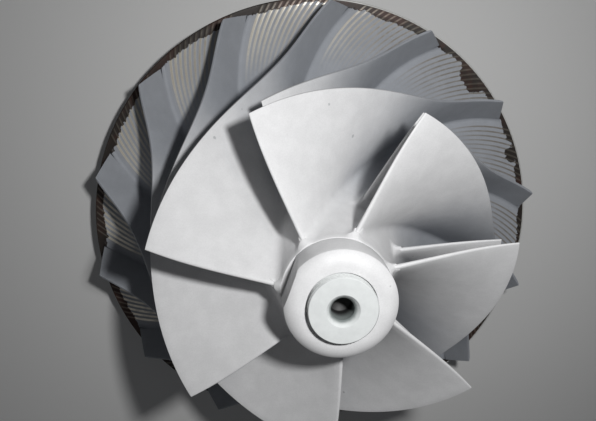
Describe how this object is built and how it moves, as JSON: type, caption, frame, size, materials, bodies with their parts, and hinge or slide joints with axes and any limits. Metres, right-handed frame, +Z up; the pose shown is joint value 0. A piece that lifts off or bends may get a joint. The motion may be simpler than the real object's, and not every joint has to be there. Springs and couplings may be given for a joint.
{
  "type": "centrifugal compressor impeller",
  "caption": "Semi-open centrifugal compressor impeller with twisted full and splitter blades on a hub with a back disc, clamped by a round nose nut on a threaded stud.",
  "frame": {"origin": "centre of the flat seat face under the hub, on the shaft axis", "axes": "+Z up along the shaft axis, from the seat to the nose; +X and +Y in the plane of the seat, +X a quarter turn clockwise of +Y seen from the nose"},
  "size_m": [0.268, 0.268, 0.1475],
  "materials": {
    "hub": "milled forging under a thin matt white coat, bare brown metal at the rim",
    "full_blade": "matt white coat",
    "splitter_blade": "matt white coat",
    "nose_nut": "matt white coat",
    "shaft_stud": "matt white coat, thread dusted with it"
  },
  "bodies": {
    "root": {"hub_disc": "hub", "full_blade_1": "full_blade", "full_blade_2": "full_blade", "full_blade_3": "full_blade", "full_blade_4": "full_blade", "full_blade_5": "full_blade", "full_blade_6": "full_blade", "full_blade_7": "full_blade", "splitter_blade_1": "splitter_blade", "splitter_blade_2": "splitter_blade", "splitter_blade_3": "splitter_blade", "splitter_blade_4": "splitter_blade", "splitter_blade_5": "splitter_blade", "splitter_blade_6": "splitter_blade", "splitter_blade_7": "splitter_blade", "nose_nut": "nose_nut", "shaft_stud": "shaft_stud"}
  },
  "joints": []
}
